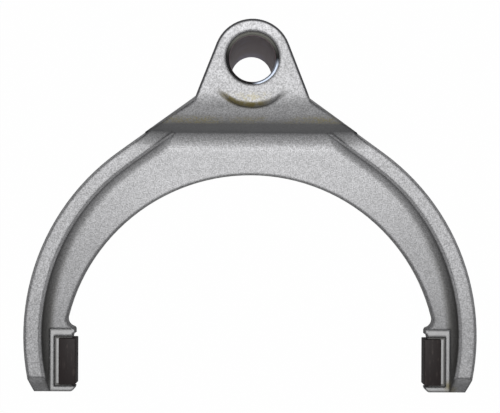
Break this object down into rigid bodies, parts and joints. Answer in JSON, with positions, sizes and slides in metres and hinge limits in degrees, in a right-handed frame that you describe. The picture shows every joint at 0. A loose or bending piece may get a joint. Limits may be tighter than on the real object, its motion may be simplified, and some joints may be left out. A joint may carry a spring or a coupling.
{
  "type": "shift fork",
  "caption": "Shift fork for a truck gearbox: a long hub bored for the shift rail, a lug, and ribbed curved arms with slide-on pads in their tips.",
  "frame": {"origin": "on the axis of the shift rail, in the middle plane of the arms and pads", "axes": "+Z along the rail axis, from the fork's flat back to its front; +Y from the arms to the hub; +X to the right, seen from the front"},
  "size_m": [0.2162, 0.1703, 0.066],
  "materials": {
    "casting": "shot-blasted as cast, machined on the lands at the tips",
    "pads": "matte",
    "bush": "dull brown bearing lining on a steel back"
  },
  "bodies": {
    "root": {"fork_casting": "casting", "left_pad": "pads", "right_pad": "pads", "rail_bush": "bush"}
  },
  "joints": []
}
